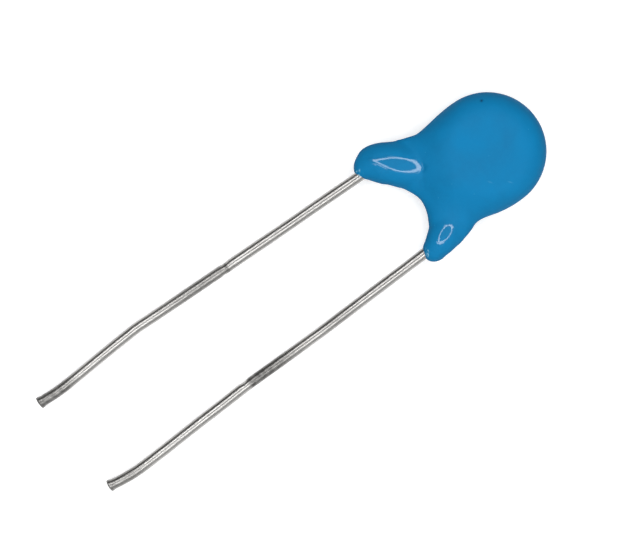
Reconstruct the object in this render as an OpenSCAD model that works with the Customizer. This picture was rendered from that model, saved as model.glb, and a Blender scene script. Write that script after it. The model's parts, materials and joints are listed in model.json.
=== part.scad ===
// Ceramic disc capacitor with two tinned wire leads and a dipped coating.
// It lies as it comes to rest: on the back of the coating and on the lead tips,
// with the leads toward -Y, the disc toward +Y and the lead pitch along X.
// Inside, one lead is soldered to each silvered face of the ceramic disc, and the
// coating fills all the space between, down to where the leads come out of its legs.

/* [Ceramic disc] */
// Diameter of the bare ceramic disc
disc_d = 7.2; // [5.8:0.1:9]
// Thickness of the bare ceramic disc
disc_t = 1.3; // [1:0.1:1.8]
// Bare margin of ceramic left round the silver electrode on each face
electrode_margin = 0.5; // [0.3:0.05:0.8]
// Thickness of each electrode
electrode_t = 0.05; // [0.02:0.01:0.08]

/* [Leads] */
// Diameter of the tinned wire
lead_d = 0.8; // [0.6:0.05:1]
// Distance between the leads where they leave the coating
pitch = 7.4; // [6:0.1:9]
// How far the pair of leads sits off the middle of the disc
lead_shift = -0.35; // [-0.6:0.05:0.6]
// Angle at which each lead runs in under the coating toward the middle of the disc
lead_in = 36; // [30:1:40]
// Bend radius of the wire inside the coating
inner_bend_r = 1; // [0.8:0.1:1.3]
// Slope of the step that lifts each lead onto its face of the disc
step_angle = 40; // [35:1:50]
// Straight length of each lead between its solder joint and the step
left_pad_run = 3.1; // [2.6:0.1:3.6]
right_pad_run = 2.7; // [2.2:0.1:3.2]
// Lead length from the coating to the slight kink, left and right
left_kink_at = 11.7; // [8:0.1:16]
right_kink_at = 16.4; // [10:0.1:18]
// Lead length from the kink to the last bend, left and right
left_far_run = 14.4; // [8:0.1:18]
right_far_run = 9.1; // [6:0.1:16]
// Straight tip of each lead beyond the last bend
left_tip_run = 1.3; // [0.8:0.1:6]
right_tip_run = 1.1; // [0.6:0.1:6]

/* [Solder joints] */
// Height of the solder over the wire
solder_over = 0.12; // [0.06:0.01:0.18]
// Radius of the solder joint's dome
solder_r = 2.2; // [1.8:0.1:2.6]

/* [Coating] */
// Thickness of the coating over the wires on the disc's two faces
face_cover = 0.4; // [0.3:0.05:0.8]
// Thickness of the coating round the rim of the disc
rim_cover = 0.75; // [0.65:0.05:1.2]
// Length of the coating's leg below the coated disc, left and right
left_leg = 4.35; // [3.6:0.05:5.3]
right_leg = 3.6; // [3.3:0.05:4.4]
// Half length of the long bulb that each leg swells into
left_bulb_l = 3.1; // [2.8:0.05:3.6]
right_bulb_l = 2.1; // [1.6:0.05:2.3]
// Half width of each bulb
left_bulb_w = 1.6; // [1.3:0.05:1.8]
right_bulb_w = 1.2; // [1:0.05:1.4]
// Coating over the wire at the top of each bulb
left_bulb_cover = 0.9; // [0.7:0.05:1.2]
right_bulb_cover = 0.75; // [0.6:0.05:1.1]
// How far each bulb leans in toward the middle of the disc
left_bulb_lean = 46; // [38:1:52]
right_bulb_lean = 22; // [16:1:30]
// Half width of each leg where it grows out of the disc
left_root_w = 3.2; // [2.8:0.1:3.6]
right_root_w = 1.55; // [1.3:0.05:2]
// Coating round the wire where a lead comes out of it
collar_cover = 0.2; // [0.15:0.01:0.3]
// Half width and half thickness of the web between the legs
web_w = 0.85; // [0.6:0.05:1.1]
web_h = 0.4; // [0.3:0.05:0.7]
// How broadly the web, the necks and the bulbs run into the rest
web_blend = 5.5; // [4.5:0.1:6.5]
neck_blend = 2.5; // [2:0.1:3.2]
bulb_blend = 0.3; // [0.2:0.1:1.2]

/* [Hidden] */
$fn = 32;

// Facing directions of the parts that come in pairs
LEFT = -1;
RIGHT = 1;
FRONT = 1;
REAR = -1;

electrode_d = disc_d - 2 * electrode_margin;
coat_d = disc_d + 2 * rim_cover;
coat_t = disc_t + 2 * (electrode_t + lead_d + face_cover);
left_drop = coat_d / 2 + left_leg;
right_drop = coat_d / 2 + right_leg;

// ---- lead routes, in the plane of the disc, with the disc's middle at the origin ----
// A heading is an angle from straight down, positive toward +X.
left_heading = -1.6;
right_heading = 1.2;
outer_bend_r = 12;

function exit_point(side) =
    [lead_shift + side * pitch / 2, -(side == LEFT ? left_drop : right_drop)];

// Each step of a wire: straight run, direction of the bend that follows it
// (0 toward +X, 180 toward -X), angle of that bend and its radius.
left_outer = [
    [left_kink_at, 180, 0.7, outer_bend_r],
    [left_far_run * 0.52, 0, 5.3, outer_bend_r],
    [left_far_run * 0.48 - 0.9, 180, 6.6, outer_bend_r],
    [left_tip_run]];
right_outer = [
    [right_kink_at * 0.58, 180, 1.3, outer_bend_r],
    [right_kink_at * 0.42, 0, 2, outer_bend_r],
    [right_far_run, 180, 9.5, outer_bend_r],
    [right_tip_run]];

// How high a lead has to rise from the middle plane to lie on its electrode
rise = disc_t / 2 + electrode_t + lead_d / 2;
step_run = (rise - 2 * inner_bend_r * (1 - cos(step_angle))) / sin(step_angle);
step_length = 2 * inner_bend_r * sin(step_angle) + step_run * cos(step_angle);

// Straight wire inside the leg's end, below and above the inward bend
leg_run = 1.2;
left_before_step = 1.9;
right_before_step = 0.9;
leg_bend_r = 1.5;

function outer_heading(side) = side == LEFT ? left_heading : right_heading;
function before_step(side) = side == LEFT ? left_before_step : right_before_step;
function pad_run(side) = side == LEFT ? left_pad_run : right_pad_run;
function inward_turn(side) = lead_in - side * outer_heading(side);

function inner_steps(side, face) = [
    [0, side == LEFT ? 0 : 180, inward_turn(side), leg_bend_r],
    [before_step(side), face == FRONT ? 270 : 90, step_angle, inner_bend_r],
    [step_run, face == FRONT ? 90 : 270, step_angle, inner_bend_r],
    [pad_run(side)]];

// Where a wire's middle line has got to, in the plane, after all its steps
function side_of(roll) = roll == 0 ? 1 : -1;
function along(a) = [sin(a), -cos(a)];
function across(a) = [cos(a), sin(a)];
function tip_point(steps, p, a, i = 0) =
    i == len(steps) - 1
    ? p + steps[i][0] * along(a)
    : let (s = steps[i], q = side_of(s[1]), r = s[3], t = s[2])
      tip_point(steps,
                p + (s[0] + r * sin(t)) * along(a) + q * r * (1 - cos(t)) * across(a),
                a + q * t, i + 1);

left_tip = tip_point(left_outer, exit_point(LEFT), left_heading);
right_tip = tip_point(right_outer, exit_point(RIGHT), right_heading);

// Middle of each solder joint, part of the way along the wire on the electrode
function pad_start(side) =
    let (a = outer_heading(side), t = inward_turn(side))
    exit_point(side)
    - (leg_run + leg_bend_r * sin(t)) * along(a)
    - side * leg_bend_r * (1 - cos(t)) * across(a)
    + (before_step(side) + step_length) * [-side * sin(lead_in), cos(lead_in)];
function solder_point(side) =
    pad_start(side) + 0.6 * pad_run(side) * [-side * sin(lead_in), cos(lead_in)];

// ---- coating: the square of its half thickness, as a smooth field over the plane ----
rim_r = coat_t / 2;
web_drop = coat_d / 2 + 0.15;
web_half = 2.4;
collar_r = lead_d / 2 + collar_cover;
collar_blend = 1.2;
left_collar_top = lead_d / 2 + 0.6;
right_collar_top = lead_d / 2 + 0.4;

// Each leg has a neck from its root in the disc to its bulb, the bulb itself and a collar
// round the wire: [root sideways, root up from the disc's edge, height of the neck at the
// root under the top of the wire, half width and height of the neck at the bulb]
left_neck = [0.85, 1, -0.18, 0.55, 0.2];
right_neck = [0.85, 0.45, 0.63, 1, 0.75];
// Middle of the bulb, and start of the collar, inward of and up from the lead's exit
left_bulb_at = [1, 2.85];
right_bulb_at = [0.3, 1.95];
left_collar_at = [-0.2, 1.6];
right_collar_at = [0, 1.2];
left_collar_w = 0.72;
right_collar_w = 0.5;

function pick(side, left, right) = side == LEFT ? left : right;
function from_exit(side, offset) = exit_point(side) + [-side * offset.x, offset.y];
function bulb_point(side) = from_exit(side, pick(side, left_bulb_at, right_bulb_at));
function collar_point(side) = from_exit(side, pick(side, left_collar_at, right_collar_at));

function soft_max(a, b, k) = max(a, b) + pow(max(k - abs(a - b), 0), 2) / (4 * k);
function limb(p, a, b, wa, wb, ha, hb) =
    let (ab = b - a,
         t = min(max((p - a) * ab / (ab * ab), 0), 1),
         off = norm(p - a - t * ab) / (wa + (wb - wa) * t),
         h = ha + (hb - ha) * t)
    h * h * (1 - off * off);
function disc_field(p) = pow(rim_r, 2) - pow(max(norm(p) - (coat_d / 2 - rim_r), 0), 2);
function neck_field(p, side) =
    let (neck = pick(side, left_neck, right_neck))
    limb(p, [side * neck[0], neck[1] - disc_d / 2], bulb_point(side),
         pick(side, left_root_w, right_root_w), neck[3],
         rise + lead_d / 2 - neck[2], neck[4]);
// An ellipsoid that leans in toward the middle of the disc
function bulb_field(p, side) =
    let (lean = -side * pick(side, left_bulb_lean, right_bulb_lean),
         off = p - bulb_point(side),
         u = off * [sin(lean), cos(lean)] / pick(side, left_bulb_l, right_bulb_l),
         v = off * [cos(lean), -sin(lean)] / pick(side, left_bulb_w, right_bulb_w),
         h = lead_d / 2 + pick(side, left_bulb_cover, right_bulb_cover))
    h * h * (1 - u * u - v * v);
function collar_field(p, side) =
    limb(p, collar_point(side), exit_point(side) + [0, 0.5 * collar_r],
         pick(side, left_collar_w, right_collar_w), collar_r,
         pick(side, left_collar_top, right_collar_top), collar_r);
function web_field(p) =
    limb(p, [-web_half, -web_drop], [web_half, -web_drop], web_w, web_w, web_h, web_h);
function field(p) =
    let (with_web = soft_max(disc_field(p), web_field(p), web_blend),
         with_neck = soft_max(with_web, neck_field(p, LEFT), neck_blend),
         with_necks = soft_max(with_neck, neck_field(p, RIGHT), neck_blend),
         with_bulb = soft_max(with_necks, bulb_field(p, LEFT), bulb_blend),
         with_bulbs = soft_max(with_bulb, bulb_field(p, RIGHT), bulb_blend),
         with_collar = soft_max(with_bulbs, collar_field(p, LEFT), collar_blend))
    soft_max(with_collar, collar_field(p, RIGHT), collar_blend);

// Distance from the disc's middle to the coating's outline, by halving an interval
function spoke(a) = [cos(a), sin(a)];
function edge(a, near = 3, far = 11, n = 26) =
    n == 0 ? near
    : let (m = (near + far) / 2)
      field(m * spoke(a)) > 0 ? edge(a, m, far, n - 1) : edge(a, near, m, n - 1);

// Spokes stand closer together over the two legs than round the free rim of the disc
leg_from = 218;
leg_to = 322;
spokes = concat([for (a = [leg_from : 1.6 : leg_to]) a],
                [for (a = [leg_to + 4 : 5 : leg_from + 356]) a]);
rings = 12;
function share(i) = sin(90 * i / rings);
reach = [for (a = spokes) edge(a)];
// Upper skin from the middle outward; the last ring is the outline itself
top = [for (i = [1 : rings - 1], j = [0 : len(spokes) - 1])
       let (p = share(i) * reach[j] * spoke(spokes[j])) [p.x, p.y, sqrt(field(p))]];
outline = [for (j = [0 : len(spokes) - 1])
           let (p = reach[j] * spoke(spokes[j])) [p.x, p.y, 0]];
crown = [0, 0, sqrt(field([0, 0]))];
skin = concat([crown], top, outline, [-crown], [for (p = top) [p.x, p.y, -p.z]]);

// Faces of one side of the skin, whose middle point is number m and whose first ring
// starts after it; the outline's points are shared by both sides
count = len(spokes);
rim = 1 + len(top);
function ring_point(m, i, j) = (i == rings ? rim : m + 1 + (i - 1) * count) + j % count;
function side_faces(m) = concat(
    [for (j = [0 : count - 1]) [m, ring_point(m, 1, j + 1), ring_point(m, 1, j)]],
    [for (i = [1 : rings - 1], j = [0 : count - 1])
     [ring_point(m, i, j), ring_point(m, i, j + 1), ring_point(m, i + 1, j + 1)]],
    [for (i = [1 : rings - 1], j = [0 : count - 1])
     [ring_point(m, i, j), ring_point(m, i + 1, j + 1), ring_point(m, i + 1, j)]]);
function flipped(faces) = [for (f = faces) [f[2], f[1], f[0]]];

// ---- lying pose: the tilt at which the coating and the longer lead both touch down ----
function lowest_skin(t) = min([for (p = skin) p.y * sin(t) + p.z * cos(t)]);
function lowest_tip(t) = min(left_tip.y, right_tip.y) * sin(t) - lead_d / 2 * cos(t);
function rest_tilt(lo = 0, hi = 8, n = 20) =
    n == 0 ? (lo + hi) / 2
    : let (m = (lo + hi) / 2)
      lowest_tip(m) > lowest_skin(m) ? rest_tilt(m, hi, n - 1) : rest_tilt(lo, m, n - 1);
tilt = rest_tilt();
lift = -lowest_skin(tilt);
mid_x = (min([for (p = skin) p.x]) + max([for (p = skin) p.x])) / 2;
far_y = max([for (p = skin) p.y * cos(tilt) - p.z * sin(tilt)]);
near_y = min(left_tip.y, right_tip.y) * cos(tilt) - lead_d / 2 * sin(tilt);

module laid() {
    translate([-mid_x, -(far_y + near_y) / 2, lift]) rotate([tilt, 0, 0]) children();
}

// ---- wire: straight runs and true round bends, one after the other, from the origin up ----
// The first straight may start before the origin by a given length.
// A bend is a hair thinner than the straights and reaches a little way into both, so that
// the wire is one solid.
bend_slack = 0.003;
bend_lap = 0.05;

module bend(angle, radius) {
    lap_angle = bend_lap / radius * 180 / PI;
    translate([radius, 0, 0]) rotate([90, 0, 0]) rotate([0, 0, 180 - angle - lap_angle])
        rotate_extrude(angle = angle + 2 * lap_angle)
            translate([radius, 0]) circle(d = lead_d - 2 * bend_slack);
}

module wire(steps, i = 0, before = 0) {
    s = steps[i];
    if (s[0] + before > 0) translate([0, 0, -before]) cylinder(d = lead_d, h = s[0] + before);
    if (i < len(steps) - 1)
        translate([0, 0, s[0]]) rotate([0, 0, s[1]]) {
            bend(s[2], s[3]);
            translate([s[3] * (1 - cos(s[2])), 0, s[3] * sin(s[2])])
                rotate([0, s[2], 0]) rotate([0, 0, -s[1]]) wire(steps, i + 1);
        }
}

module lead_shape(side, face, outer) {
    e = exit_point(side);
    h = outer_heading(side);
    translate([e.x, e.y, 0]) {
        rotate([90, 0, 0]) rotate([0, h, 0]) wire(outer, before = leg_run);
        rotate([-90, 0, 0]) rotate([0, -h, 0]) translate([0, 0, leg_run])
            wire(inner_steps(side, face));
    }
}

module left_lead_shape() { lead_shape(LEFT, FRONT, left_outer); }
module right_lead_shape() { lead_shape(RIGHT, REAR, right_outer); }

module ceramic_shape() {
    cylinder(d = disc_d, h = disc_t, center = true);
}

module electrode_shape(face) {
    translate([0, 0, face * (disc_t + electrode_t) / 2])
        cylinder(d = electrode_d, h = electrode_t, center = true);
}

// A dome of solder that wets the electrode and buries the wire
module solder_dome(side, face) {
    p = solder_point(side);
    height = lead_d + solder_over;
    floor_z = disc_t / 2 + electrode_t;
    intersection() {
        translate([p.x, p.y, face * (floor_z + height - solder_r)]) sphere(r = solder_r);
        translate([0, 0, face * (floor_z + height / 2)])
            cylinder(d = electrode_d, h = height, center = true);
    }
}

module ceramic_disc() {
    color("tan") laid() ceramic_shape();
}

module front_electrode() {
    color("gainsboro") laid() electrode_shape(FRONT);
}

module rear_electrode() {
    color("gainsboro") laid() electrode_shape(REAR);
}

module front_solder() {
    color("silver") laid() difference() {
        solder_dome(LEFT, FRONT);
        left_lead_shape();
    }
}

module rear_solder() {
    color("silver") laid() difference() {
        solder_dome(RIGHT, REAR);
        right_lead_shape();
    }
}

module left_lead() {
    color("lightgray") laid() left_lead_shape();
}

module right_lead() {
    color("lightgray") laid() right_lead_shape();
}

module coating() {
    color("steelblue") laid() difference() {
        polyhedron(points = skin,
                   faces = concat(side_faces(0), flipped(side_faces(rim + count))));
        ceramic_shape();
        electrode_shape(FRONT);
        electrode_shape(REAR);
        solder_dome(LEFT, FRONT);
        solder_dome(RIGHT, REAR);
        left_lead_shape();
        right_lead_shape();
    }
}

coating();
ceramic_disc();
front_electrode();
rear_electrode();
front_solder();
rear_solder();
left_lead();
right_lead();
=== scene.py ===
# %% [markdown]
# A ceramic disc capacitor: a small silvered disc of ceramic with a wire soldered to each
# face, dipped in blue epoxy. It lies on its back, on the coating and on the lead tips.
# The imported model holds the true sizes. What is added here is what the dip and the tin
# leave behind: a skin that runs out along the wires, the gloss on its two legs, the
# drawn and handled surface of the leads and their cropped ends. The first step loads the
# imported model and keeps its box, so that the new pieces can be held against it.

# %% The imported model
import json
import math

import bpy
import numpy as np
from mathutils import Matrix, Vector, noise


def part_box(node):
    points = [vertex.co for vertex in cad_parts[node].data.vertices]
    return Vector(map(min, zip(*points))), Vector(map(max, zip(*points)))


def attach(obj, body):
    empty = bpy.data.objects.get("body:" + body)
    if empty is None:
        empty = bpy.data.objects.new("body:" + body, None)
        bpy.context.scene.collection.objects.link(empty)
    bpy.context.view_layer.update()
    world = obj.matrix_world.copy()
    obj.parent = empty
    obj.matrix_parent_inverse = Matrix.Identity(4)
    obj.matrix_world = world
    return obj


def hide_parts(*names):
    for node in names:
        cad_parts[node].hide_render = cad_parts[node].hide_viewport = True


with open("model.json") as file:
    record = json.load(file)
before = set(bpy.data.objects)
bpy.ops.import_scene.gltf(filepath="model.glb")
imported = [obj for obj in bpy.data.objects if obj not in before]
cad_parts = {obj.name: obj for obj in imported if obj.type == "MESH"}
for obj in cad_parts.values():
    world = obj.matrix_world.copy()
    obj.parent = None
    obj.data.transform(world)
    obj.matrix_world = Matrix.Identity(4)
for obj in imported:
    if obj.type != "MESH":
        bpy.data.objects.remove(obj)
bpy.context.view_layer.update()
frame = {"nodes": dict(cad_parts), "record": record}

# %% [markdown]
# The real part rests on the back of its coating and on the two lead tips, so its disc
# lies at a small tilt. Each piece could be built flat and then turned as an object. Here
# the points themselves are turned instead: every piece is worked out in a flat drawing,
# in the plane of the disc and in millimetres, and one function takes its points to the
# table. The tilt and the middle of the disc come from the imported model, so that the new
# pieces can't drift away from it.

# %% From the flat drawing to the table
MM = 0.001
board_seat = next(m for m in frame["record"]["mounts"] if m["name"] == "board_seat")
tilt = math.asin(-board_seat["axis"][2])
disc_low, disc_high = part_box("ceramic_disc")
disc_middle = (Vector(disc_low) + Vector(disc_high)) / 2


def lay(points):
    """Points of the flat drawing, in mm, at their place on the table, in metres."""
    p = np.asarray(points, dtype=float) * MM
    across, along, up = p[..., 0], p[..., 1], p[..., 2]
    c, s = math.cos(tilt), math.sin(tilt)
    return np.stack([disc_middle.x + across,
                     disc_middle.y + along * c - up * s,
                     np.maximum(disc_middle.z + along * s + up * c, 0)], axis=-1)


print("tilt", round(math.degrees(tilt), 2), "disc middle, mm", [round(v / MM, 2) for v in disc_middle])

# %% [markdown]
# Inside the real part are a disc of ceramic, a silver film on each of its faces and a
# wire soldered to each film. None of that shows, but it decides how high the wires lie
# and how thick the coating has to be. These sizes could be measured off the packed
# pieces. They are written out instead, so that the rest of the drawing can be read.

# %% Driving sizes, in mm
lead_r = 0.4
disc_t = 1.3
electrode_t = 0.05
exits = {"left": Vector((-4.05, -8.7, 0)), "right": Vector((3.35, -7.95, 0))}
rise = disc_t / 2 + electrode_t + lead_r
print("each wire lies", round(rise, 2), "mm from the middle plane of the disc")

# %% [markdown]
# A lead is drawn wire, so its shape is a middle line and a round section. The line could
# be a curve with handles, but a wire isn't drawn freely: it is bent up from straight
# runs, each followed by a bend of some radius. A list of runs and bends says just that,
# and gives the true length of the wire too.

# %% The middle line of a wire
RIGHTWARD = Vector((1, 0, 0))
LEFTWARD = Vector((-1, 0, 0))
UPWARD = Vector((0, 0, 1))
DOWNWARD = Vector((0, 0, -1))
STEP = 0.1


def bent_line(start, ahead, steps):
    """Points along runs and bends. A step is (run, side it bends to, degrees, radius)."""
    at = start.copy()
    points = []
    for run, toward, degrees, radius in steps:
        count = max(2, round(run / STEP))
        points += [at + ahead * (run * i / count) for i in range(count)]
        at = at + ahead * run
        if degrees:
            inward = (toward - ahead * toward.dot(ahead)).normalized()
            axis = ahead.cross(inward)
            centre = at + inward * radius
            angle = math.radians(degrees)
            count = max(3, round(radius * angle / STEP))
            for i in range(count):
                points.append(centre - Matrix.Rotation(angle * i / count, 3, axis) @ inward * radius)
            turn = Matrix.Rotation(angle, 3, axis)
            at = centre - turn @ inward * radius
            ahead = turn @ ahead
    return points + [at]


def heading(degrees):
    """Straight down the drawing, turned toward +X."""
    return Vector((math.sin(math.radians(degrees)), -math.cos(math.radians(degrees)), 0))


print("a wire has a point every", STEP, "mm")

# %% [markdown]
# Outside the coating each lead has a long run, a slight kink, a second run to the last
# bend, and the tip. Under the coating it turns in toward the disc and steps up onto its
# face, one wire on the front and one on the back. Both parts start where the wire leaves
# the coating, and the inner one is then turned round, so that one line runs from the pad
# to the tip and the place of the exit stays exact.

# %% The two routes
BEND = 12
lead_in = 36
step_angle = 40
inner_bend = 1
step_run = ((rise - 2 * inner_bend * (1 - math.cos(math.radians(step_angle))))
            / math.sin(math.radians(step_angle)))
# each route starts at the exit: how far it is turned toward +X, then its steps
outer = {
    "left": (-1.6, [(11.7, LEFTWARD, 0.7, BEND),
                    (7.488, RIGHTWARD, 5.3, BEND),
                    (6.012, LEFTWARD, 7.0, BEND),
                    (1.07, None, 0, 0)]),
    "right": (1.2, [(9.512, LEFTWARD, 1.3, BEND),
                    (6.888, RIGHTWARD, 2.0, BEND),
                    (9.0, LEFTWARD, 11.5, BEND),
                    (0.68, None, 0, 0)]),
}
inner = {
    "left": [(1.2, RIGHTWARD, lead_in - 1.6, 1.5),
             (1.9, UPWARD, step_angle, inner_bend),
             (step_run, DOWNWARD, step_angle, inner_bend),
             (3.1, None, 0, 0)],
    "right": [(1.2, LEFTWARD, lead_in - 1.2, 1.5),
              (0.9, DOWNWARD, step_angle, inner_bend),
              (step_run, UPWARD, step_angle, inner_bend),
              (2.7, None, 0, 0)],
}


def lead_line(side):
    """The whole wire from its pad to its tip, and how many of its points lie inside."""
    turn, steps = outer[side]
    inside = bent_line(exits[side], -heading(turn), inner[side])[::-1]
    outside = bent_line(exits[side], heading(turn), steps)
    return inside[:-1] + outside, len(inside) - 1


for side in exits:
    line, inside = lead_line(side)
    print(side, "route:", inside, "points inside the coating,", len(line) - inside, "outside")

# %% [markdown]
# The tube round that line carries what handling leaves on a real lead: the section is
# never perfectly round, a bend is pinched where the pliers held it, and the end was
# cropped, so it is a little spread and slanted. A curve with a bevel would give a perfect
# tube, so the rings are placed point by point. The first helpers build a piece, keep a
# number for each of its points, and give smooth steps and slow wandering.

# %% Building a piece, and smooth changes along it
NOISE_LEVEL = 0.3
RIPPLE_GAIN = 1.6


def make_object(name, points, faces, slot_name=None, smooth=True):
    mesh = bpy.data.meshes.new(name)
    mesh.from_pydata([tuple(p) for p in points], [], faces)
    mesh.validate()
    mesh.update()
    mesh.polygons.foreach_set("use_smooth", [smooth] * len(mesh.polygons))
    piece = bpy.data.objects.new(name, mesh)
    bpy.context.scene.collection.objects.link(piece)
    if slot_name:
        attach(piece, "root")
    print(name, len(mesh.vertices), "points,", len(mesh.polygons), "faces")
    return piece


def store(piece, attribute, values):
    """Keeps one number for each point of the piece, under a name its material reads."""
    layer = piece.data.attributes.new(attribute, "FLOAT", "POINT")
    layer.data.foreach_set("value", np.asarray(values, dtype=np.float32))
    print(piece.name, "stores", attribute, "from", round(float(np.min(values)), 2),
          "to", round(float(np.max(values)), 2))


def hump(s, middle, half_width):
    """1 at the middle, falling smoothly to 0 a half width away."""
    x = np.clip(np.abs(np.asarray(s) - middle) / half_width, 0, 1)
    return (1 + np.cos(np.pi * x)) / 2


def ease(s, start, end):
    """0 before the start, 1 after the end, smooth between."""
    x = np.clip((np.asarray(s, dtype=float) - start) / (end - start), 0, 1)
    return x * x * (3 - 2 * x)


def ripple(s, seed, pace):
    """A gentle wandering value along a wire, from about -1 to 1."""
    return np.array([noise.noise((v * pace, seed, NOISE_LEVEL)) for v in s]) * RIPPLE_GAIN


# %% [markdown]
# A ring of points needs to know which way the wire runs and which way is sideways. If
# sideways were chosen afresh at each point, the tube would twist at a bend. It is carried
# along instead: the last sideways direction is kept, and only the part of it that would
# point along the wire is taken off. Out of the coating a real lead also wanders by a few
# hundredths of a millimetre, which makes its reflection waver.

# %% Directions along a wire, and how far it wanders
WANDER_ACROSS = 0.018
WANDER_OVER = 0.012
ACROSS_PACE, OVER_PACE = 0.25, 0.3
WANDER_START, WANDER_FULL = 0.3, 3


def directions(points):
    """At each point of a line: the way ahead, the way across, and the way over both."""
    ahead = np.gradient(points, axis=0)
    ahead /= np.linalg.norm(ahead, axis=1)[:, None]
    across = np.zeros_like(points)
    side_way = np.array([1.0, 0, 0])
    for i, a in enumerate(ahead):
        side_way = side_way - a * side_way.dot(a)
        side_way /= np.linalg.norm(side_way)
        across[i] = side_way
    return ahead, across, np.cross(across, ahead)


def wandering(points, s, across, over, seed):
    """The line as handling leaves it: no longer quite straight outside the coating."""
    free = ease(s, WANDER_START, WANDER_FULL)[:, None]
    points = points + free * across * WANDER_ACROSS * ripple(s, seed, ACROSS_PACE)[:, None]
    return points + free * over * WANDER_OVER * ripple(s, seed + 5, OVER_PACE)[:, None]


# %% [markdown]
# The section starts as a circle. Its size changes slowly along the wire, and it is a
# little oval, as a wire is that was drawn, tinned and straightened. Pliers take a shallow
# bite out of one side of a bend. Cutters squeeze the wire before it parts, so its last
# few tenths of a millimetre are spread and the very edge is rounded. All of these change
# one number, the radius at each point and angle, so each takes a line. Only the slant of
# the cut is different: it moves the last rings along the wire, more on one side.

# %% The section of a wire
AROUND = 48
angle = np.linspace(0, 2 * np.pi, AROUND, endpoint=False)
SIZE_CHANGE, SIZE_PACE = 0.006, 0.9
OVAL, OVAL_PACE = 0.012, 0.35
PLIER_EDGE = 3
CUT_SPREAD, CUT_SPREAD_LENGTH = 0.055, 0.4
CUT_SPREAD_ALL_ROUND, CUTTER_TURN = 0.4, 0.5
CUT_EDGE = 0.02
CUT_SLANT, CUT_SLANT_LENGTH, CUT_SLANT_TURN = -0.04, 0.5, 0.9


def section(s, seed, pinches):
    """A radius for each point and angle. A pinch is (place, half length, depth, degrees)."""
    radius = np.full((len(s), AROUND), lead_r)
    radius *= 1 + SIZE_CHANGE * ripple(s, seed + 9, SIZE_PACE)[:, None]
    radius *= 1 + OVAL * ripple(s, seed + 14, OVAL_PACE)[:, None] * np.cos(2 * angle)[None, :]
    for place, half_length, depth, direction in pinches:
        facing = np.clip(np.cos(angle - math.radians(direction)), 0, 1) ** PLIER_EDGE
        radius -= depth * hump(s, place, half_length)[:, None] * facing[None, :]
    spread = CUT_SPREAD * ease(s, s[-1] - CUT_SPREAD_LENGTH, s[-1] - CUT_EDGE)
    radius += spread[:, None] * (CUT_SPREAD_ALL_ROUND + np.abs(np.cos(angle - CUTTER_TURN)))[None, :]
    radius[-1] -= CUT_EDGE
    return radius


def tube_points(points, s, ways, radius):
    """The rings round a line, then the middle of each end."""
    ahead, across, over = ways
    slant = CUT_SLANT * ease(s, s[-1] - CUT_SLANT_LENGTH, s[-1])[:, None]
    slant = slant * np.cos(angle - CUT_SLANT_TURN)[None, :]
    ring = (points[:, None, :]
            + radius[..., None] * (np.cos(angle)[None, :, None] * across[:, None, :]
                                   + np.sin(angle)[None, :, None] * over[:, None, :])
            + slant[..., None] * ahead[:, None, :])
    ends = np.stack([points[0], points[-1] + ahead[-1] * CUT_EDGE])
    return np.concatenate([ring.reshape(-1, 3), ends])


def tube_faces(rings):
    """Squares along the tube and a fan of triangles over each end, all facing outward."""
    faces = []
    for i in range(rings - 1):
        for j in range(AROUND):
            k = (j + 1) % AROUND
            faces.append((i * AROUND + j, (i + 1) * AROUND + j, (i + 1) * AROUND + k, i * AROUND + k))
    last = (rings - 1) * AROUND
    start = rings * AROUND
    end = start + 1
    for j in range(AROUND):
        k = (j + 1) % AROUND
        faces.append((start, j, k))
        faces.append((end, last + k, last + j))
    return faces


# %% [markdown]
# In a few stretches of each lead the tin is drawn nearly black and a little rougher. Those places belong
# to the wire and not to the space round it, so they can't come from a pattern alone. Each point of the
# tube stores how dull it is, and the material reads that number.

# %% The two leads
def lead(side, seed, pinches, dull_spots):
    """One lead. A dull spot is (start, full, fade, stop, strength) along the wire."""
    line, inside = lead_line(side)
    points = np.array(line)
    steps = np.linalg.norm(np.diff(points, axis=0), axis=1)
    s = np.concatenate([[0], np.cumsum(steps)])
    s = s - s[inside]
    ways = directions(points)
    points = wandering(points, s, ways[1], ways[2], seed)
    tube = tube_points(points, s, ways, section(s, seed, pinches))
    piece = make_object(side + "_lead_wire", lay(tube), tube_faces(len(s)), "tinned_wire")
    dull = np.zeros(len(s))
    for start, full, fade, stop, strength in dull_spots:
        dull = np.maximum(dull, strength * ease(s, start, full) * (1 - ease(s, fade, stop)))
    store(piece, "dull", np.concatenate([np.repeat(dull, AROUND), [0, 1]]))
    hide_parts(side + "_lead")
    print(side, "lead", round(s[-1], 2), "mm outside the coating")
    return piece


left_wire = lead("left", 2.0, [(11.9, 0.5, 0.07, 200),
                               (12.3, 0.25, 0.05, 20)],
                 [(11.68, 11.8, 11.9, 12.05, 1.0),
                  (11.8, 12.0, 14.5, 19.0, 0.45),
                  (25.2, 27.2, 40, 41, 0.75)])
right_wire = lead("right", 7.0, [(16.6, 0.5, 0.06, 200),
                                 (16.2, 0.3, 0.04, 60)],
                  [(10.5, 14.6, 16.15, 16.45, 0.85),
                   (6.5, 8.0, 8.6, 10.5, 0.25),
                   (25.4, 27.4, 40, 41, 0.45)])

# %% [markdown]
# The coating is what stays when the disc and its wires are dipped and drawn out: a thick
# round cushion over the disc, two legs that run down the wires and swell near their ends,
# and a thin web between them. It could be modelled by merging round solids, but those
# meet in hard creases. Its two faces are alike, so one smooth height over the flat
# drawing gives both, and the sizes below say what that height is made of.

# %% Sizes of the coating, in mm
coat_r = 4.35
coat_half = 1.9
wire_top = rise + lead_r
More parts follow.
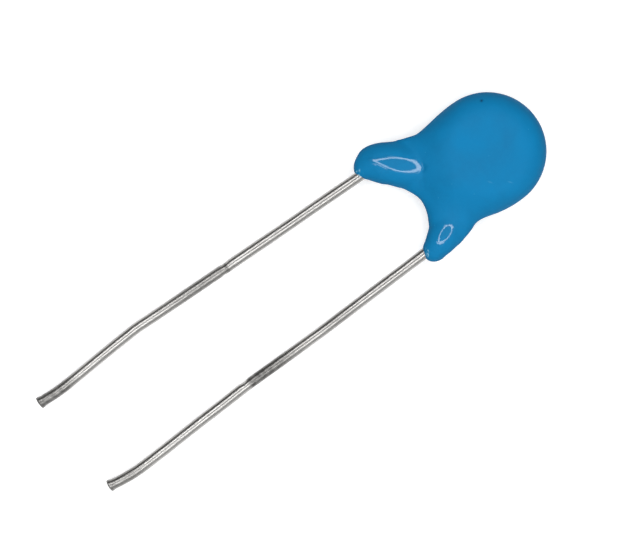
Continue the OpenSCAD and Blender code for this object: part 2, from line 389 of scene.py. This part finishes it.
# a limb's end is (x, y, half width, height)
web_ends = ((-2.4, -4.5, 0.85, 0.4), (2.4, -4.5, 0.85, 0.4))
legs = {
    "left": {
        "root": (-0.85, -2.6, 3.2, wire_top + 0.18),
        "neck": (-3.05, -5.85, 0.55, 0.2),
        "bulb": {"middle": (-3.05, -5.85), "half_length": 3.1, "half_width": 1.6,
                 "height": 1.3, "lean": 46},
        "collar": (-3.9, -7.2, 1.15, 1.0),
        "tip_from_exit": (-0.22, 0.48),
    },
    "right": {
        "root": (0.85, -3.15, 1.55, wire_top - 0.63),
        "neck": (3.05, -6.0, 1.0, 0.75),
        "bulb": {"middle": (3.05, -6.0), "half_length": 2.1, "half_width": 1.2,
                 "height": 1.15, "lean": -22},
        "collar": (3.35, -6.75, 0.5, 0.8),
        "tip_from_exit": (0.25, 0.4),
    },
}
collar_r = 0.6
web_blend = 5.5
neck_blend = 2.5
bulb_blend = 0.3
collar_blend = 1.2
print("the cushion is", 2 * coat_r, "mm across and", 2 * coat_half, "mm thick")

# %% [markdown]
# Liquid epoxy meets itself in broad fillets and rounds every edge. Taking the larger of
# two heights would leave a crease, so a soft maximum is used, which lifts the sum a
# little where the two are nearly equal. It works on the square of the height: near its
# edge a rounded body's height falls like a square root, so the square falls evenly, and
# where it passes zero the skin turns over into its back with a round edge.

# %% The square of the skin's height over the drawing
def soft_max(a, b, k):
    return np.maximum(a, b) + np.maximum(k - np.abs(a - b), 0) ** 2 / (4 * k)


def limb(x, y, root, end):
    """A tapering round-backed limb from one end to another."""
    ax, ay, wa, ha = root
    bx, by, wb, hb = end
    dx, dy = bx - ax, by - ay
    t = np.clip(((x - ax) * dx + (y - ay) * dy) / (dx * dx + dy * dy), 0, 1)
    off = np.hypot(x - ax - t * dx, y - ay - t * dy) / (wa + (wb - wa) * t)
    high = ha + (hb - ha) * t
    return high * high * (1 - off * off)


def leaning(x, y, middle, degrees):
    """Distances from a middle along a leaning line and across it."""
    a = math.radians(degrees)
    dx, dy = x - middle[0], y - middle[1]
    return dx * math.sin(a) + dy * math.cos(a), dx * math.cos(a) - dy * math.sin(a)


def height_squared(x, y):
    past = np.maximum(np.hypot(x, y) - (coat_r - coat_half), 0)
    h = coat_half ** 2 - past ** 2
    h = soft_max(h, limb(x, y, *web_ends), web_blend)
    for leg in legs.values():
        h = soft_max(h, limb(x, y, leg["root"], leg["neck"]), neck_blend)
    for leg in legs.values():
        bulb = leg["bulb"]
        u, v = leaning(x, y, bulb["middle"], bulb["lean"])
        share = 1 - (u / bulb["half_length"]) ** 2 - (v / bulb["half_width"]) ** 2
        h = soft_max(h, bulb["height"] ** 2 * share, bulb_blend)
    for side, leg in legs.items():
        ahead, up = leg["tip_from_exit"]
        tip = (exits[side].x + ahead, exits[side].y + up, collar_r, collar_r)
        h = soft_max(h, limb(x, y, leg["collar"], tip), collar_blend)
    return h


# %% [markdown]
# Near its end each leg swells, and there the epoxy has levelled to a smooth crown that
# shows a closed loop of reflected light. Such a loop lies where the surface has one
# certain slope. A crown left over from blended bodies has an uneven slope and a broken
# loop, so the top of each bulb is drawn up to an even oval dome, whose slope reaches 14
# degrees on a given oval. The same oval says where the gloss is.

# %% The crown of each bulb, and its gloss
# the oval on which the crown slopes 14 degrees; egg is how much wider it is at one end
crowns = [
    {"middle": (-3.2, -5.98), "half_length": 1.65, "half_width": 0.455, "lean": 45, "egg": 0.3},
    {"middle": (3.09, -6.09), "half_length": 0.74, "half_width": 0.33, "lean": -19, "egg": 0.1},
]
CROWN_SLOPE = math.tan(math.radians(14))
EGG_STOPS = 1.4
# shares of the oval: where the dome is fitted, where it fades out, where the gloss does
FIT_FROM, FIT_TO = 0.5, 1.1
DOME_FADES, DOME_ENDS = 1.18, 1.4
GLOSS_FADES, GLOSS_ENDS = 1.12, 1.3


def oval(x, y, crown):
    """Lengthwise and crosswise share of the oval, 1 at its ends, and both together."""
    u, v = leaning(x, y, crown["middle"], crown["lean"])
    u = u / crown["half_length"]
    v = v / (crown["half_width"] * (1 + crown["egg"] * np.clip(u, -EGG_STOPS, EGG_STOPS)))
    return u, v, np.hypot(u, v)


def crowned(x, y, high):
    """The skin's height with the top of each bulb drawn up to an even oval dome."""
    for crown in crowns:
        u, v, d = oval(x, y, crown)
        drop = CROWN_SLOPE / 3 * (u * u * crown["half_length"] + v * v * crown["half_width"]) * d
        near = (d > FIT_FROM) & (d < FIT_TO)
        dome = np.mean(high[near] + drop[near]) - drop
        share = 1 - ease(d, DOME_FADES, DOME_ENDS)
        high = high * (1 - share) + dome * share
    return high


def leg_gloss(x, y):
    """1 on the two crowns, 0 elsewhere."""
    return sum(1 - ease(oval(x, y, crown)[2], GLOSS_FADES, GLOSS_ENDS) for crown in crowns)


print(len(crowns), "crowns, which slope", round(math.degrees(math.atan(CROWN_SLOPE))), "degrees")

# %% [markdown]
# The outline of the coating is wherever the squared height passes zero. A square grid
# would cut that outline into steps. Spokes from the middle of the disc are better: each
# one finds the edge for itself by halving a step, and the rings between the middle and
# the edge then follow the outline. The rings crowd toward the edge, where the skin turns
# over, and the spokes crowd toward the legs, where the shape is finest.

# %% Spokes and rings
SPOKES = 460
RINGS = 84
REACH_FROM, REACH_TO = 2.5, 11.0
HALVINGS = 34
EVEN_STEPS = 4000
LEG_CROWDING = 2.2
LEGS_AT, LEGS_SPAN = math.radians(270), math.radians(75)


def edge_reach(a):
    """How far from the middle the outline lies in each direction."""
    near = np.full_like(a, REACH_FROM)
    far = np.full_like(a, REACH_TO)
    for _ in range(HALVINGS):
        mid = (near + far) / 2
        inside = height_squared(mid * np.cos(a), mid * np.sin(a)) > 0
        near, far = np.where(inside, mid, near), np.where(inside, far, mid)
    return near


def spoke_angles():
    """More spokes over the legs than round the free rim."""
    even = np.linspace(0, 2 * np.pi, EVEN_STEPS)
    want = 1 + LEG_CROWDING * hump(even, LEGS_AT, LEGS_SPAN)
    total = np.concatenate([[0], np.cumsum((want[1:] + want[:-1]) / 2)])
    return np.interp(np.arange(SPOKES) / SPOKES * total[-1], total, even)


spokes = spoke_angles()
reach = edge_reach(spokes)
print("the outline lies", round(reach.min(), 2), "to", round(reach.max(), 2), "mm from the middle")

# %% [markdown]
# A dipped skin is never quite even: it has waves a millimetre or two long and a few hundredths high. They
# could come from a displacement modifier, but then they would also shift the edge and spoil the crowns.
# Added here, they fade out toward the rim, where the front and the back share their points, and on the
# glossy crowns. The front and the back are two lids over the same spokes, which gives one closed skin.

# %% The coating
WAVE, FRONT_WAVE_SIZE, BACK_WAVE_SIZE = 0.02, 1.6, 1.7
FINE_WAVE, FINE_WAVE_SIZE = 0.006, 0.5
FRONT_SEED, FINE_SEED, BACK_SEED = 3.1, 8.2, 21.0
WAVE_FADE = 8
CROWN_STILLNESS = 0.9
UNEVEN_GAIN = 1.5
RIM_START = 1 + (RINGS - 1) * SPOKES


def uneven(x, y, size, seed):
    """A smooth random value for each point, from about -1 to 1."""
    values = [noise.noise((a / size, b / size, seed)) for a, b in zip(x.ravel(), y.ravel())]
    return np.array(values).reshape(x.shape) * UNEVEN_GAIN


def coating_points():
    """The front with its middle, the rim, then the back with its middle."""
    out = np.sin(np.pi / 2 * np.arange(1, RINGS) / RINGS)
    x = out[:, None] * (reach * np.cos(spokes))[None, :]
    y = out[:, None] * (reach * np.sin(spokes))[None, :]
    high = crowned(x, y, np.sqrt(np.maximum(height_squared(x, y), 0)))
    keep = (1 - out[:, None] ** WAVE_FADE) * (1 - CROWN_STILLNESS * leg_gloss(x, y))
    front = high + WAVE * keep * uneven(x, y, FRONT_WAVE_SIZE, FRONT_SEED)
    front = front + FINE_WAVE * keep * uneven(x, y, FINE_WAVE_SIZE, FINE_SEED)
    back = high + WAVE * keep * uneven(x, y, BACK_WAVE_SIZE, BACK_SEED)
    rim = np.stack([reach * np.cos(spokes), reach * np.sin(spokes), np.zeros_like(spokes)], axis=-1)
    top = float(np.sqrt(height_squared(np.zeros(1), np.zeros(1)))[0])
    return np.concatenate([[[0, 0, top]], np.stack([x, y, front], -1).reshape(-1, 3), rim,
                           [[0, 0, -top]], np.stack([x, y, -back], -1).reshape(-1, 3)])


def point_number(middle, ring, spoke):
    """Which point of the skin this is. The outermost ring is the rim, which both lids share."""
    start = RIM_START if ring == RINGS else middle + 1 + (ring - 1) * SPOKES
    return start + spoke % SPOKES


def coating_faces():
    faces = []
    for middle, upper in ((0, True), (RIM_START + SPOKES, False)):
        for j in range(SPOKES):
            strip = [(middle, point_number(middle, 1, j), point_number(middle, 1, j + 1))]
            for i in range(1, RINGS):
                strip.append((point_number(middle, i, j), point_number(middle, i + 1, j),
                              point_number(middle, i + 1, j + 1), point_number(middle, i, j + 1)))
            faces += strip if upper else [face[::-1] for face in strip]
    return faces


skin_points = coating_points()
coating = make_object("coating_skin", lay(skin_points), coating_faces(), "blue_epoxy")
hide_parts("coating")

# %% [markdown]
# A real coating has single marks at certain places: a pinhole in the dip, two small nicks on the cushion,
# and a ragged lip where the epoxy ends on each wire. The pinhole is a dot of painted shade, and the lip's
# pale specks are painted glints, partly also paler chipped epoxy.
# A pattern would scatter them anywhere. Each is a soft spot at its own place, stored for
# each point of the skin like the gloss, and the material gives it its colour.

# %% Marks that the skin stores
# a mark is (middle, half length, half width, lean)
# the pinhole is only a dot of painted shade, the skin has no hole there
pinholes = [((-3.24, 1.83), 0.1, 0.08, 0)]
nicks = [((1.94, -1.17), 0.16, 0.035, 54), ((2.81, 0.02), 0.16, 0.035, 54)]
lips = [(-4.26, -8.6), (3.42, -8.0)]
LIP_FULL, LIP_ENDS = 0.15, 0.42


def marks(x, y, listed):
    total = np.zeros_like(x)
    for middle, half_long, half_wide, lean in listed:
        u, v = leaning(x, y, middle, lean)
        total = total + np.exp(-(u / half_long) ** 2 - (v / half_wide) ** 2)
    return total


skin_x, skin_y, skin_z = skin_points.T
on_front = skin_z > 0
store(coating, "gloss", leg_gloss(skin_x, skin_y))
store(coating, "pinhole", on_front * marks(skin_x, skin_y, pinholes))
store(coating, "nick", on_front * marks(skin_x, skin_y, nicks))
store(coating, "lip", sum(1 - ease(np.hypot(skin_x - x, skin_y - y), LIP_FULL, LIP_ENDS) for x, y in lips))

# %% [markdown]
# Materials are graphs of shader nodes. They could be clicked together in the editor. In a
# script the same few moves come back all the time: add a node and wire its inputs, open a
# group with named inputs and outputs, place a group, mix two colours, scale a number.
# Each move is a short function, so that a material reads as a list of its effects.

# %% Helpers for shader nodes
FLOAT, VECTOR = "NodeSocketFloat", "NodeSocketVector"


def feed(tree, socket, value):
    """Wires a socket to another one, or sets it to a plain value."""
    if isinstance(value, bpy.types.NodeSocket):
        tree.links.new(value, socket)
    else:
        socket.default_value = value


def add_node(tree, kind, inputs=None, **settings):
    made = tree.nodes.new(kind)
    for name, value in settings.items():
        setattr(made, name, value)
    for name, value in (inputs or {}).items():
        feed(tree, made.inputs[name], value)
    return made


def new_group(name, inputs, outputs):
    group = bpy.data.node_groups.new(name, "ShaderNodeTree")
    for label, kind, value in inputs:
        socket = group.interface.new_socket(label, in_out="INPUT", socket_type=kind)
        if value is not None:
            socket.default_value = value
    for label, kind in outputs:
        group.interface.new_socket(label, in_out="OUTPUT", socket_type=kind)
    return group, group.nodes.new("NodeGroupInput"), group.nodes.new("NodeGroupOutput")


def group_node(tree, group, **inputs):
    made = tree.nodes.new("ShaderNodeGroup")
    made.node_tree = group
    for name, value in inputs.items():
        feed(tree, made.inputs[name.replace("_", " ")], value)
    return made


def new_material(name):
    made = bpy.data.materials.new(name)
    made.use_nodes = True
    tree = made.node_tree
    return made, tree, tree.nodes["Principled BSDF"]


def blend_colour(tree, share, first, second):
    mix = tree.nodes.new("ShaderNodeMix")
    mix.data_type = "RGBA"
    feed(tree, mix.inputs[0], share)
    for socket, colour in ((mix.inputs[6], first), (mix.inputs[7], second)):
        feed(tree, socket, (*colour, 1.0) if isinstance(colour, tuple) else colour)
    return mix.outputs[2]


def product(tree, first, second):
    return add_node(tree, "ShaderNodeMath", {0: first, 1: second}, operation="MULTIPLY").outputs[0]


def scaled(tree, value, factor, plus=0.0):
    made = add_node(tree, "ShaderNodeMath", {0: value, 1: factor, 2: plus}, operation="MULTIPLY_ADD")
    return made.outputs[0]


def stored(tree, attribute):
    """A number that the piece stores for each of its points."""
    return add_node(tree, "ShaderNodeAttribute", attribute_name=attribute).outputs["Fac"]


# %% [markdown]
# Epoxy, tin, ceramic and paper all have slow cloudy changes of colour and gloss, only at
# other sizes. A noise in each material would work, but its scale would have to be worked
# out again every time. One group does it for all: it takes a size in millimetres, and
# low and high limits that say how sharply one patch passes into the next.

# %% Group: cloudy changes
MM_IN_METRE = 1000.0

cloudy, g_in, g_out = new_group(
    "cloudy_patches", [("Place", VECTOR, None), ("Size mm", FLOAT, 1.0), ("Low", FLOAT, 0.35),
                       ("High", FLOAT, 0.65)], [("Amount", FLOAT)])
pace = add_node(cloudy, "ShaderNodeMath", {0: MM_IN_METRE, 1: g_in.outputs["Size mm"]}, operation="DIVIDE")
clouds = add_node(cloudy, "ShaderNodeTexNoise", {"Vector": g_in.outputs["Place"], "Scale": pace.outputs[0],
                                                "Detail": 3.0, "Roughness": 0.55})
spread_out = add_node(cloudy, "ShaderNodeMapRange",
                      {"Value": clouds.outputs["Fac"], "From Min": g_in.outputs["Low"],
                       "From Max": g_in.outputs["High"]}, clamp=True)
cloudy.links.new(spread_out.outputs["Result"], g_out.inputs["Amount"])
print(cloudy.name, len(cloudy.nodes), "nodes")

# %% [markdown]
# Dust and grains sit on a surface as single dots. Noise can't give separate dots, but
# the distance to the nearest of many scattered points can: wherever it is small, there
# is a dot. The group takes the spacing of the dots in millimetres, and their size as a
# share of that spacing.

# %% Group: scattered specks
specks, g_in, g_out = new_group(
    "scattered_specks", [("Place", VECTOR, None), ("Spacing mm", FLOAT, 1.0), ("Size", FLOAT, 0.1)],
    [("Mask", FLOAT)])
pace = add_node(specks, "ShaderNodeMath", {0: MM_IN_METRE, 1: g_in.outputs["Spacing mm"]},
                operation="DIVIDE")
cells = add_node(specks, "ShaderNodeTexVoronoi",
                 {"Vector": g_in.outputs["Place"], "Scale": pace.outputs[0]})
dots = add_node(specks, "ShaderNodeMapRange",
                {"Value": cells.outputs["Distance"], "From Min": g_in.outputs["Size"],
                 "From Max": product(specks, g_in.outputs["Size"], 0.5)}, clamp=True)
specks.links.new(dots.outputs["Result"], g_out.inputs["Mask"])
print(specks.name, len(specks.nodes), "nodes")

# %% [markdown]
# Blue epoxy is full of pigment, so its face is satin and almost without a highlight. Only
# on the swollen legs has it levelled to a gloss. One roughness for all would look like
# painted plastic. Here a rough blue body lies under a clear coat, and the weight of that
# coat follows the stored gloss. Broad and fine clouds give the blue its slight patches.

# %% Blue epoxy: the body and its marks
DEEP_BLUE, MID_BLUE = (0.0008, 0.148, 0.330), (0.0012, 0.170, 0.378)
LIGHT_BLUE, LIGHT_SHARE = (0.002, 0.188, 0.41), 0.25
HOLE_SHADE = (0.0005, 0.02, 0.05)
NICK_PALE, NICK_SHARE = (0.08, 0.32, 0.48), 0.35
# the pale lip colour is painted glints on the ragged end of the coating, partly also paler chipped epoxy
LIP_CHIP_AND_GLINT, LIP_CHIP_AND_GLINT_SHARE = (0.22, 0.50, 0.62), 0.75
DUST_BLUE, DUST_SHARE = (0.05, 0.30, 0.48), 0.35

blue_epoxy, tree, bsdf = new_material("blue_epoxy")
place = add_node(tree, "ShaderNodeTexCoord").outputs["Object"]
broad = group_node(tree, cloudy, Place=place, Size_mm=2.2, Low=0.3, High=0.7).outputs["Amount"]
fine = group_node(tree, cloudy, Place=place, Size_mm=0.25, Low=0.2, High=0.8).outputs["Amount"]
chip_and_glint_specks = group_node(tree, cloudy, Place=place, Size_mm=0.22, Low=0.52, High=0.62).outputs["Amount"]
dust = group_node(tree, specks, Place=place, Spacing_mm=0.9, Size=0.05).outputs["Mask"]
blue = blend_colour(tree, broad, DEEP_BLUE, MID_BLUE)
blue = blend_colour(tree, scaled(tree, fine, LIGHT_SHARE), blue, LIGHT_BLUE)
# painted shade of the pinhole, darkening the blue at its place
blue = blend_colour(tree, stored(tree, "pinhole"), blue, HOLE_SHADE)
blue = blend_colour(tree, scaled(tree, stored(tree, "nick"), NICK_SHARE), blue, NICK_PALE)
# pale specks on the lip: painted glints, partly also paler chipped epoxy
lip_chips_and_glints = product(tree, stored(tree, "lip"), chip_and_glint_specks)
blue = blend_colour(tree, scaled(tree, lip_chips_and_glints, LIP_CHIP_AND_GLINT_SHARE), blue, LIP_CHIP_AND_GLINT)
blue = blend_colour(tree, scaled(tree, dust, DUST_SHARE), blue, DUST_BLUE)
tree.links.new(blue, bsdf.inputs["Base Color"])

# %% Blue epoxy: its gloss and its fine relief
SATIN, SATIN_CHANGE = 0.6, 0.12
PEEL_DEPTH = 0.01 * MM

tree.links.new(stored(tree, "gloss"), bsdf.inputs["Coat Weight"])
bsdf.inputs["Coat Roughness"].default_value = 0.1
bsdf.inputs["Specular IOR Level"].default_value = 0.12
tree.links.new(scaled(tree, broad, SATIN_CHANGE, SATIN), bsdf.inputs["Roughness"])
peel = add_node(tree, "ShaderNodeBump", {"Height": fine, "Strength": 0.25, "Distance": PEEL_DEPTH})
tree.links.new(peel.outputs[0], bsdf.inputs["Normal"])
coating.data.materials.append(blue_epoxy)
print(blue_epoxy.name, len(tree.nodes), "nodes")

# %% [markdown]
# Tinned wire is a soft grey metal. It was drawn through a die, which leaves faint lines
# along it, and its tin is patchy. A single metal colour would look chromed. The streaks
# come from the cloudy group with its pattern pulled out along the leads, and the patches
# from the same group left even. Where the wire stores that it is dull, the tin turns
# nearly black and a little rougher, in mottled spots rather than as a clean band.

# %% Tinned wire: its colour
STREAK_DARK, STREAK_BRIGHT = (0.31, 0.305, 0.295), (0.39, 0.385, 0.375)
PATCH_GREY, PATCH_SHARE = (0.28, 0.275, 0.265), 0.3
# the nearly black tin of the stretches that each wire stores as dull
DARK_TIN, DARK_TIN_SHARE = (0.05, 0.049, 0.047), 0.95
MOTTLE_LEAST, MOTTLE_MORE = 0.6, 0.4
ALONG_THE_LEADS = (1.0, 0.04, 1.0)

tinned_wire, tree, bsdf = new_material("tinned_wire")
place = add_node(tree, "ShaderNodeTexCoord").outputs["Object"]
drawn_place = add_node(tree, "ShaderNodeMapping", {"Vector": place, "Scale": ALONG_THE_LEADS}).outputs[0]
streaks = group_node(tree, cloudy, Place=drawn_place, Size_mm=0.12, Low=0.3, High=0.7).outputs["Amount"]
patches = group_node(tree, cloudy, Place=place, Size_mm=0.8, Low=0.4, High=0.62).outputs["Amount"]
mottle = group_node(tree, cloudy, Place=place, Size_mm=0.3, Low=0.38, High=0.62).outputs["Amount"]
dull = stored(tree, "dull")
dull_mottle = product(tree, dull, scaled(tree, mottle, MOTTLE_MORE, MOTTLE_LEAST))
tin = blend_colour(tree, streaks, STREAK_DARK, STREAK_BRIGHT)
tin = blend_colour(tree, scaled(tree, patches, PATCH_SHARE), tin, PATCH_GREY)
tin = blend_colour(tree, scaled(tree, dull_mottle, DARK_TIN_SHARE), tin, DARK_TIN)
tree.links.new(tin, bsdf.inputs["Base Color"])
bsdf.inputs["Metallic"].default_value = 1.0

# %% Tinned wire: its roughness and its relief
TIN_ROUGH, STREAK_ROUGH, DULL_ROUGH = 0.3, 0.04, 0.08
LINE_DEPTH = 0.01 * MM

rough = scaled(tree, dull, DULL_ROUGH, scaled(tree, streaks, STREAK_ROUGH, TIN_ROUGH))
tree.links.new(rough, bsdf.inputs["Roughness"])
lines = add_node(tree, "ShaderNodeBump", {"Height": streaks, "Strength": 0.12, "Distance": LINE_DEPTH})
pits = add_node(tree, "ShaderNodeBump", {"Height": mottle, "Strength": 0.12, "Distance": LINE_DEPTH,
                                        "Normal": lines.outputs[0]})
tree.links.new(pits.outputs[0], bsdf.inputs["Normal"])
for wire in (left_wire, right_wire):
    wire.data.materials.append(tinned_wire)
print(tinned_wire.name, len(tree.nodes), "nodes")

# %% [markdown]
# The disc, its silver films and the solder are out of sight under the coating. They
# still get a real finish, for anyone who hides the coating to look inside: pale fired
# ceramic, silver paint with a fine grain, and bright solder. All three are a grain
# between two colours, which also roughens and dents the surface, so one function makes
# them.

# %% Inner pieces
GRAIN_ROUGH = 0.2
GRAIN_DEPTH = 0.02 * MM


def inner_finish(name, low, high, size, metallic, roughness):
    made, tree, bsdf = new_material(name)
    place = add_node(tree, "ShaderNodeTexCoord").outputs["Object"]
    grain = group_node(tree, cloudy, Place=place, Size_mm=size, Low=0.3, High=0.7).outputs["Amount"]
    tree.links.new(blend_colour(tree, grain, low, high), bsdf.inputs["Base Color"])
    tree.links.new(scaled(tree, grain, GRAIN_ROUGH, roughness), bsdf.inputs["Roughness"])
    bsdf.inputs["Metallic"].default_value = metallic
    bump = add_node(tree, "ShaderNodeBump", {"Height": grain, "Strength": 0.3, "Distance": GRAIN_DEPTH})
    tree.links.new(bump.outputs[0], bsdf.inputs["Normal"])
    return made


fired_ceramic = inner_finish("fired_ceramic", (0.50, 0.38, 0.25), (0.66, 0.54, 0.40), 0.12, 0.0, 0.6)
fired_silver = inner_finish("fired_silver", (0.66, 0.65, 0.62), (0.86, 0.85, 0.82), 0.08, 1.0, 0.4)
solder = inner_finish("solder", (0.55, 0.56, 0.57), (0.74, 0.75, 0.76), 0.4, 1.0, 0.2)
finishes = {"ceramic_disc": fired_ceramic, "front_electrode": fired_silver, "rear_electrode": fired_silver,
            "front_solder": solder, "rear_solder": solder}
for node, finish in finishes.items():
    cad_piece = frame["nodes"][node]
    cad_piece.data.materials.clear()
    cad_piece.data.materials.append(finish)
    print(node, "gets", finish.name)

# %% [markdown]
# The floor is a sheet of white paper, far larger than the part. A plain white one throws
# so much light back up that the underside of the blue rim glows. So it is darker for
# scattered light than it is to the eye, and makes up for that with a weak glow of its
# own, which rises with distance so that no grey horizon shows at a low angle.

# %% Floor
FLOOR_HALF = 3.0
PAPER_GREY, PAPER_WHITE, PAPER_BOUNCE = (0.84, 0.84, 0.84), (0.86, 0.86, 0.86), (0.30, 0.30, 0.30)
GLOW_RISES_FROM, GLOW_RISES_TO = 0.07, 0.35
GLOW_NEAR, GLOW_MORE = 0.35, 0.75


def stage_mesh(name, points, faces):
    piece = make_object(name, points, faces, smooth=False)
    return piece


floor = stage_mesh("floor", [(-FLOOR_HALF, -FLOOR_HALF, 0), (FLOOR_HALF, -FLOOR_HALF, 0),
                             (FLOOR_HALF, FLOOR_HALF, 0), (-FLOOR_HALF, FLOOR_HALF, 0)], [(0, 1, 2, 3)])
floor_paper, tree, bsdf = new_material("floor_paper")
place = add_node(tree, "ShaderNodeTexCoord").outputs["Object"]
spread_ray = add_node(tree, "ShaderNodeLightPath").outputs["Is Diffuse Ray"]
fibre = group_node(tree, cloudy, Place=place, Size_mm=3.0, Low=0.2, High=0.8).outputs["Amount"]
paper = blend_colour(tree, fibre, PAPER_GREY, PAPER_WHITE)
tree.links.new(blend_colour(tree, spread_ray, paper, PAPER_BOUNCE), bsdf.inputs["Base Color"])
bsdf.inputs["Roughness"].default_value = 0.9
bsdf.inputs["Specular IOR Level"].default_value = 0.1
away = add_node(tree, "ShaderNodeVectorMath", {0: place}, operation="LENGTH").outputs["Value"]
rising = add_node(tree, "ShaderNodeMapRange", {"Value": away, "From Min": GLOW_RISES_FROM,
                                              "From Max": GLOW_RISES_TO}, clamp=True).outputs["Result"]
glow = product(tree, scaled(tree, spread_ray, -1.0, 1.0), scaled(tree, rising, GLOW_MORE, GLOW_NEAR))
tree.links.new(glow, bsdf.inputs["Emission Color"])
bsdf.inputs["Emission Strength"].default_value = 1.0
floor.data.materials.append(floor_paper)

# %% [markdown]
# The camera hangs straight over the part, as on a copy stand, and is turned so that the
# leads run down to the left. It could stand close with a short lens, but then the near
# coating would look too big beside the tips. From 30 cm with a long lens the part shows
# in nearly its true proportions.

# %% Camera, straight over the part
VIEW_TURN = math.radians(53.95)
DISTANCE = 0.30
LENS_MM = 229.5
aim = disc_middle + Vector((0.000115, -0.015298, 0))
camera_data = bpy.data.cameras.new("camera")
camera = bpy.data.objects.new("camera", camera_data)
bpy.context.scene.collection.objects.link(camera)
camera_data.sensor_width = 36
camera_data.lens = LENS_MM
camera_data.clip_start = 0.01
camera_data.clip_end = 20
camera.location = (aim.x, aim.y, disc_middle.z + DISTANCE)
camera.rotation_euler = (0, 0, VIEW_TURN)
bpy.context.scene.camera = camera
print("camera", round(camera.location.z * 1000), "mm over the table")

# %% [markdown]
# The main light is a ring round the lens. It lights the part evenly from all sides, casts
# hardly a shadow, and is what draws the closed loops on the two glossy crowns and the
# bright band down each wire. Area lamps can't be rings, so it is a flat mesh with a
# glowing material, hidden from the camera. It is finely divided, so its reflection is round.

# %% Ring light
RING_INNER, RING_OUTER = 0.127, 0.200
RING_GLOW = 7.3
RING_CORNERS = 96


def glowing(name, strength):
    made = bpy.data.materials.new(name)
    made.use_nodes = True
    made.node_tree.nodes.clear()
    glow = add_node(made.node_tree, "ShaderNodeEmission", {"Strength": strength})
    end = made.node_tree.nodes.new("ShaderNodeOutputMaterial")
    made.node_tree.links.new(glow.outputs[0], end.inputs["Surface"])
    return made


def light_mesh(name, points, faces, glow_name, strength):
    piece = stage_mesh(name, points, faces)
    piece.data.materials.append(glowing(glow_name, strength))
    piece.visible_camera = False


turns = [2 * math.pi * i / RING_CORNERS for i in range(RING_CORNERS)]
ring_points = [(aim.x + r * math.cos(a), aim.y + r * math.sin(a), disc_middle.z + DISTANCE)
               for r in (RING_INNER, RING_OUTER) for a in turns]
ring_faces = [(i, (i + 1) % RING_CORNERS, RING_CORNERS + (i + 1) % RING_CORNERS, RING_CORNERS + i)
              for i in range(RING_CORNERS)]
light_mesh("ring_light", ring_points, ring_faces, "ring_glow", RING_GLOW)

# %% [markdown]
# With the ring alone both sides of the cushion would be equally bright. A weak upright
# panel on the right lifts that side a little, as a window beside the stand would. Its
# lower and upper edges are given as angles that the part sees, so that its reflection
# stays where it is when the panel is moved away.

# %% Side panel
PANEL_AWAY = 0.25
PANEL_HALF_WIDTH = 0.3
PANEL_LOW, PANEL_HIGH = math.radians(4), math.radians(58)
PANEL_GLOW = 0.75
panel_x = aim.x + PANEL_AWAY
panel_left, panel_right = aim.y - PANEL_HALF_WIDTH, aim.y + PANEL_HALF_WIDTH
bottom, top = PANEL_AWAY * math.tan(PANEL_LOW), PANEL_AWAY * math.tan(PANEL_HIGH)
panel_corners = [(panel_x, panel_left, bottom), (panel_x, panel_right, bottom),
                 (panel_x, panel_right, top), (panel_x, panel_left, top)]
light_mesh("side_panel", panel_corners, [(0, 1, 2, 3)], "panel_glow", PANEL_GLOW)

# %% [markdown]
# The rest of the room is dim, so the dark bands on the wires stay dark, but the space
# behind the part should still look white from every side. One colour can't do both. The
# world asks whether a ray comes straight from the camera: then it is white, and for every
# reflection it is a dark grey.

# %% The room
ROOM_GREY, BEHIND_WHITE = (0.09, 0.09, 0.09, 1), (1, 1, 1, 1)
world = bpy.data.worlds.new("studio")
bpy.context.scene.world = world
world.use_nodes = True
tree = world.node_tree
tree.nodes.clear()
seen = add_node(tree, "ShaderNodeLightPath").outputs["Is Camera Ray"]
room = add_node(tree, "ShaderNodeBackground", {"Color": ROOM_GREY})
white = add_node(tree, "ShaderNodeBackground", {"Color": BEHIND_WHITE})
either = add_node(tree, "ShaderNodeMixShader", {0: seen, 1: room.outputs[0], 2: white.outputs[0]})
end = tree.nodes.new("ShaderNodeOutputWorld")
tree.links.new(either.outputs[0], end.inputs["Surface"])
bpy.context.scene.view_settings.view_transform = "Standard"
print("world", len(tree.nodes), "nodes")
